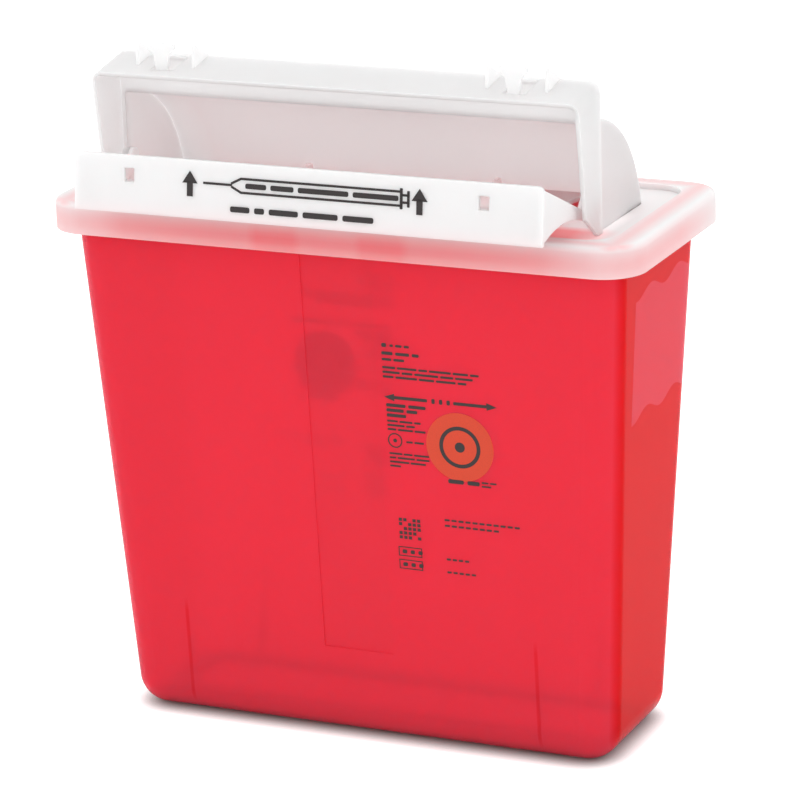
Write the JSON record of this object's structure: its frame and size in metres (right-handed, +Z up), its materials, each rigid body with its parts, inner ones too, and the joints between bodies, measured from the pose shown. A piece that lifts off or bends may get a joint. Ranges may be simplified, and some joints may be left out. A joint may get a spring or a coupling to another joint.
{
  "type": "sharps container",
  "caption": "Free-standing sharps container: tapered translucent tub, snap-fit lid, hooded slot and a swinging tray whose front flap is lifted to drop used needles inside.",
  "frame": {"origin": "middle of the tub's flat foot, on the surface it stands on", "axes": "+Z up, -Y to the front where the tray opens, +X to the right seen from the front"},
  "size_m": [0.273, 0.1399, 0.3087],
  "materials": {
    "tub": "translucent red, lightly frosted",
    "lid": "natural milky, satin",
    "hood": "natural milky, satin",
    "tray": "natural milky, satin"
  },
  "bodies": {
    "container": {"tub": "tub", "lid": "lid", "hood": "hood"},
    "swing_tray": {"tray": "tray"}
  },
  "joints": [
    {"name": "tray_swing", "type": "hinge", "parent": "container", "child": "swing_tray", "pos_m": [0, -0.028, 0.254], "axis": [-1, 0, 0], "range_deg": [0, 46]}
  ]
}
